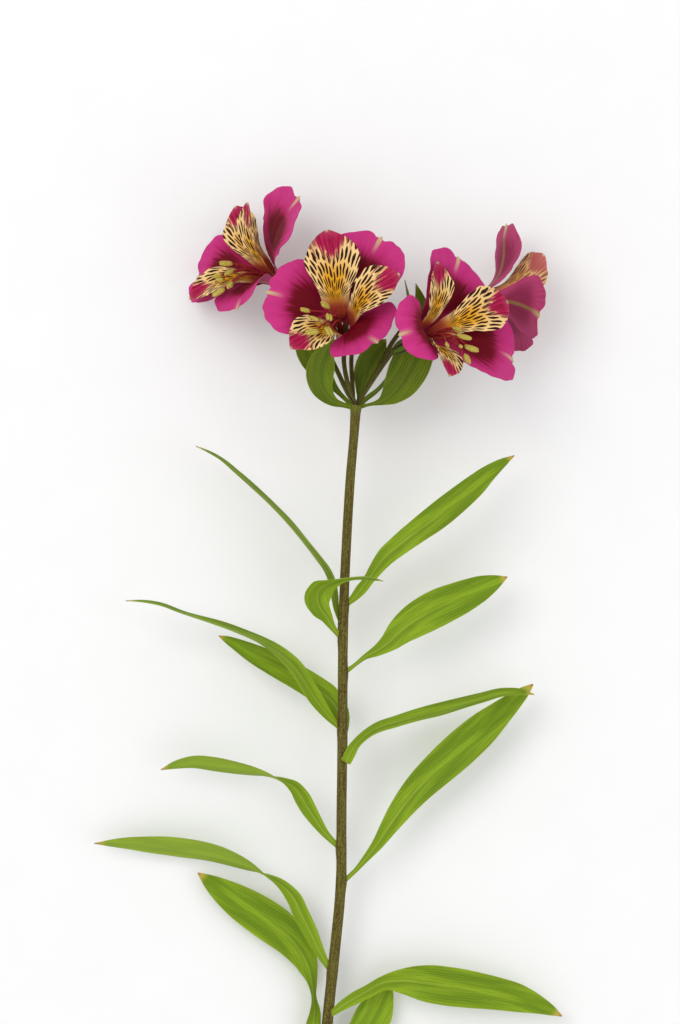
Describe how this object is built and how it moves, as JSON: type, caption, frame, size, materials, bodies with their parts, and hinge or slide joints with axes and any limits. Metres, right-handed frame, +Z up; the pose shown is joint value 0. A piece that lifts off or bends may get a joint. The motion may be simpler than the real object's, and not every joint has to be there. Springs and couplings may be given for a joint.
{
  "type": "cut flower",
  "caption": "Cut alstroemeria lying on its back: a long leafy stem, a whorl of bracts, and open pink flowers with cream and gold inner petals marked by dark dashes.",
  "frame": {"origin": "on the ground under the middle of the plant, with the plant lying on its back", "axes": "+Z up, +Y along the stem from the cut end to the flowers, +X to the right when the flowers point away from the viewer"},
  "size_m": [0.2156, 0.45, 0.0858],
  "materials": {
    "stem_skin": "matte brown-olive plant stem, greener near the top",
    "leaf_blade": "soft satin leaf, yellow-green with parallel veins",
    "bract_blade": "soft satin leaf, mid green with parallel veins",
    "flower_stalk": "matte brown-purple stalk with a green ribbed ovary",
    "outer_petal": "matte velvety magenta-pink petal with a maroon blotch and a green-white tip",
    "inner_petal": "matte cream and gold petal with black-brown dashes and a pink band near the tip",
    "stamen": "matte reddish filaments with olive-yellow anthers",
    "bud_petal": "matte closed petals, pink with green tips"
  },
  "bodies": {
    "root": {"stem": "stem_skin", "leaf_01": "leaf_blade", "leaf_02": "leaf_blade", "leaf_03": "leaf_blade", "leaf_04": "leaf_blade", "leaf_05": "leaf_blade", "leaf_06": "leaf_blade", "leaf_07": "leaf_blade", "leaf_08": "leaf_blade", "leaf_09": "leaf_blade", "leaf_10": "leaf_blade", "leaf_11": "leaf_blade", "leaf_12": "leaf_blade", "leaf_13": "leaf_blade", "bract_1": "bract_blade", "bract_2": "bract_blade", "bract_3": "bract_blade", "bract_4": "bract_blade", "bract_5": "bract_blade", "left_flower_stalk": "flower_stalk", "left_flower_outer_petal_1": "outer_petal", "left_flower_outer_petal_2": "outer_petal", "left_flower_outer_petal_3": "outer_petal", "left_flower_inner_petal_1": "inner_petal", "left_flower_inner_petal_2": "inner_petal", "left_flower_inner_petal_3": "inner_petal", "left_flower_stamens": "stamen", "middle_flower_stalk": "flower_stalk", "middle_flower_outer_petal_1": "outer_petal", "middle_flower_outer_petal_2": "outer_petal", "middle_flower_outer_petal_3": "outer_petal", "middle_flower_inner_petal_1": "inner_petal", "middle_flower_inner_petal_2": "inner_petal", "middle_flower_inner_petal_3": "inner_petal", "middle_flower_stamens": "stamen", "right_flower_stalk": "flower_stalk", "right_flower_outer_petal_1": "outer_petal", "right_flower_outer_petal_2": "outer_petal", "right_flower_outer_petal_3": "outer_petal", "right_flower_inner_petal_1": "inner_petal", "right_flower_inner_petal_2": "inner_petal", "right_flower_inner_petal_3": "inner_petal", "right_flower_stamens": "stamen", "far_flower_stalk": "flower_stalk", "far_flower_outer_petal_1": "outer_petal", "far_flower_outer_petal_2": "outer_petal", "far_flower_outer_petal_3": "outer_petal", "far_flower_inner_petal_1": "inner_petal", "far_flower_inner_petal_2": "inner_petal", "far_flower_inner_petal_3": "inner_petal", "far_flower_stamens": "stamen", "bud_stalk": "flower_stalk", "bud": "bud_petal"}
  },
  "joints": []
}
